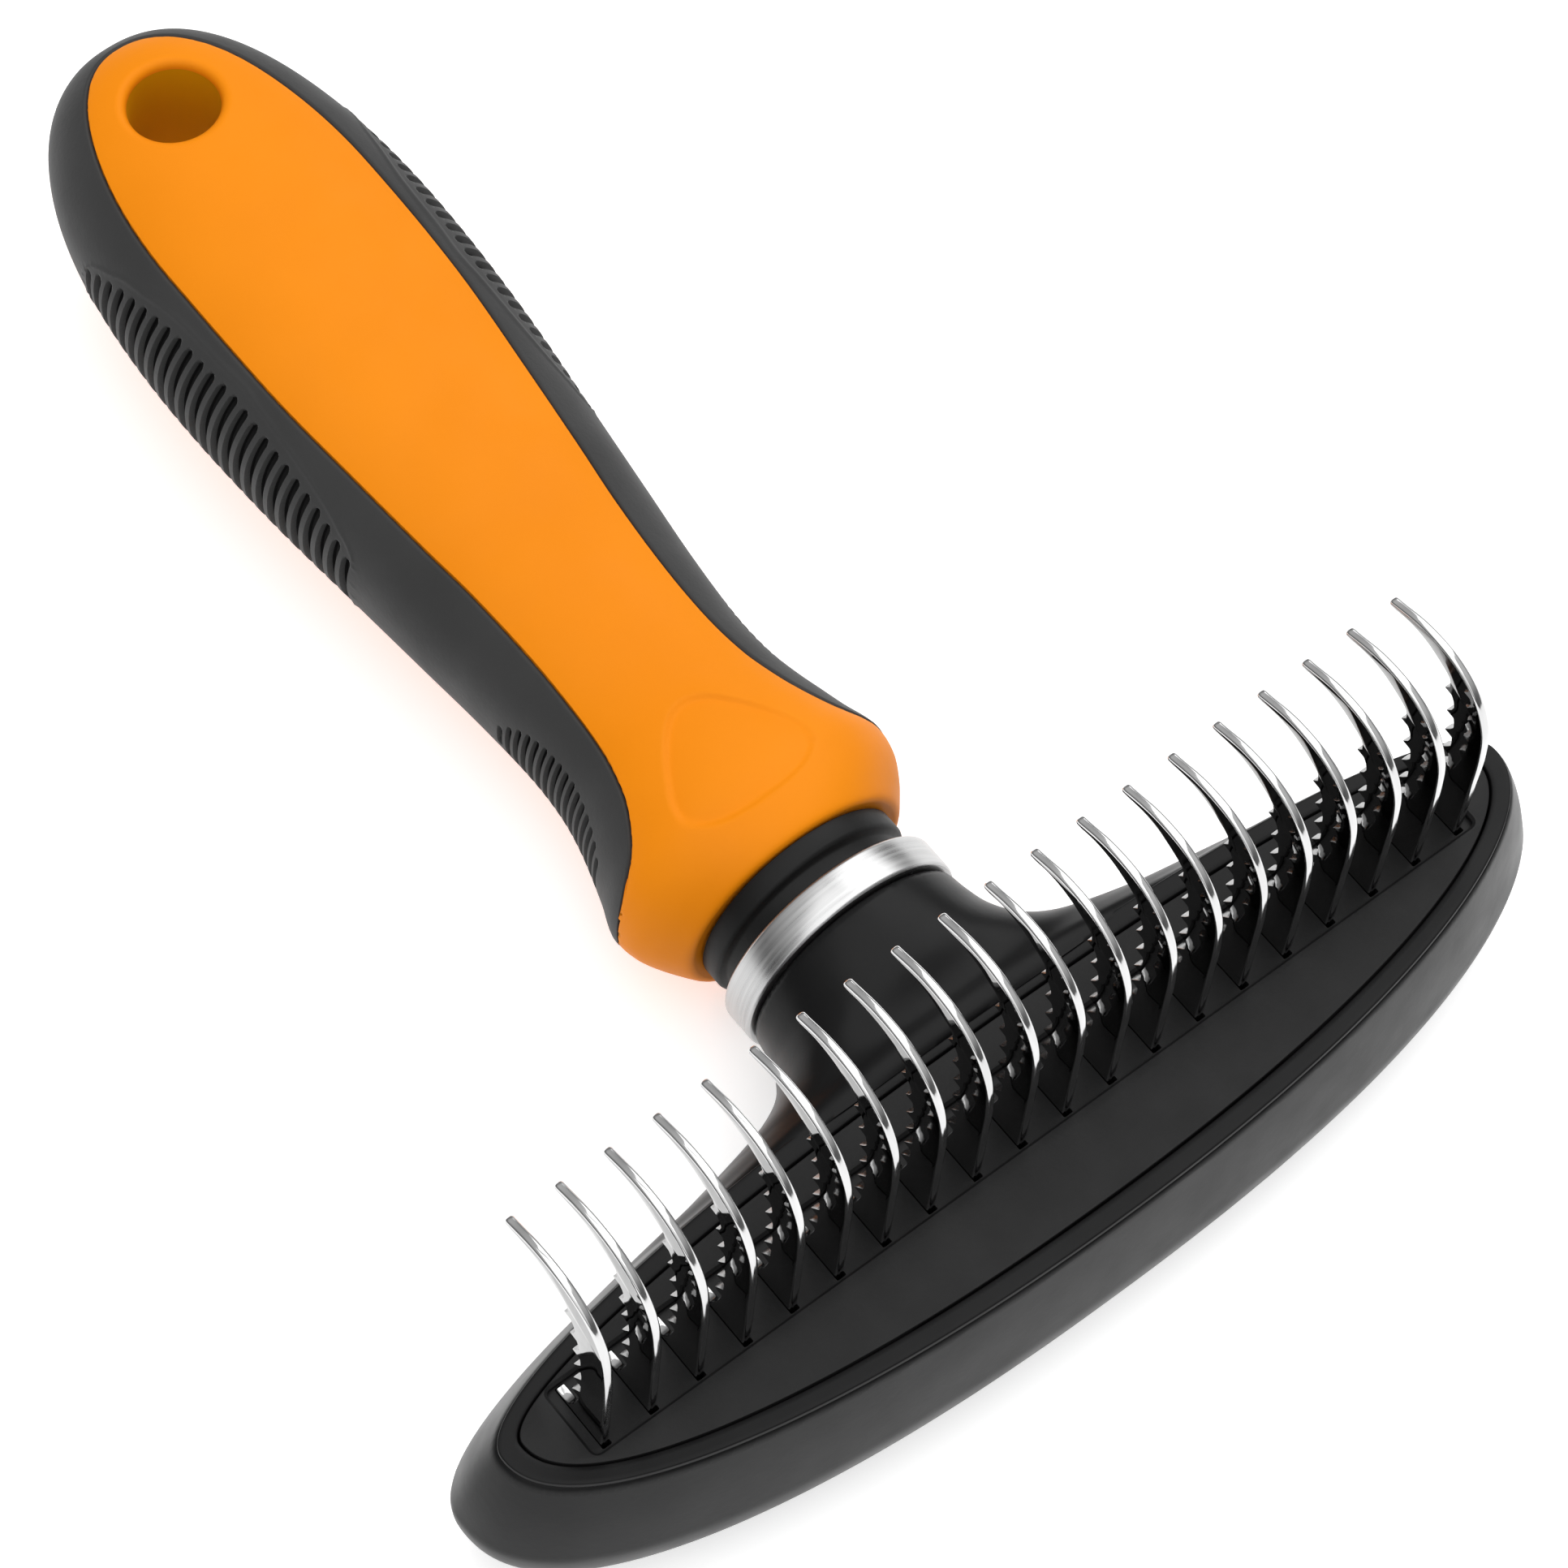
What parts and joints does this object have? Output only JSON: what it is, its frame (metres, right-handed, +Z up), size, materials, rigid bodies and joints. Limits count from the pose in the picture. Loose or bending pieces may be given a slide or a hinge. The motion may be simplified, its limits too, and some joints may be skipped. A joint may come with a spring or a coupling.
{
  "type": "undercoat rake",
  "caption": "Hand-held pet grooming rake with a row of curved serrated blades in an oval head on an overmoulded handle.",
  "frame": {"origin": "centre of the footprint at the resting surface, with the rake lying on its back", "axes": "+X along the row of blades, +Y from the head to the hanging end of the handle, +Z up along the blades"},
  "size_m": [0.15, 0.1934, 0.0565],
  "materials": {
    "head_plastic": "satin black moulded plastic",
    "carrier_plastic": "fine-textured black moulded plastic",
    "blade_steel": "polished stainless steel",
    "screw_steel": "plain steel",
    "insert_brass": "turned brass",
    "ring_aluminium": "satin turned aluminium",
    "handle_orange": "fine-textured orange moulded plastic",
    "grip_rubber": "matt dark grey soft grip"
  },
  "bodies": {
    "root": {"head_shell": "head_plastic", "blade_carrier": "carrier_plastic", "blade_retainer": "carrier_plastic", "retainer_screws": "screw_steel", "carrier_screws": "screw_steel", "blade_01": "blade_steel", "blade_02": "blade_steel", "blade_03": "blade_steel", "blade_04": "blade_steel", "blade_05": "blade_steel", "blade_06": "blade_steel", "blade_07": "blade_steel", "blade_08": "blade_steel", "blade_09": "blade_steel", "blade_10": "blade_steel", "blade_11": "blade_steel", "blade_12": "blade_steel", "blade_13": "blade_steel", "blade_14": "blade_steel", "blade_15": "blade_steel", "blade_16": "blade_steel", "blade_17": "blade_steel", "blade_18": "blade_steel", "blade_19": "blade_steel", "blade_20": "blade_steel", "blade_rod": "screw_steel", "rod_clips": "screw_steel", "neck_screw": "screw_steel", "neck_washer": "screw_steel", "neck_insert": "insert_brass", "ferrule_ring": "ring_aluminium", "neck_collar": "head_plastic", "handle_core": "handle_orange", "grip_sleeve": "grip_rubber"}
  },
  "joints": []
}
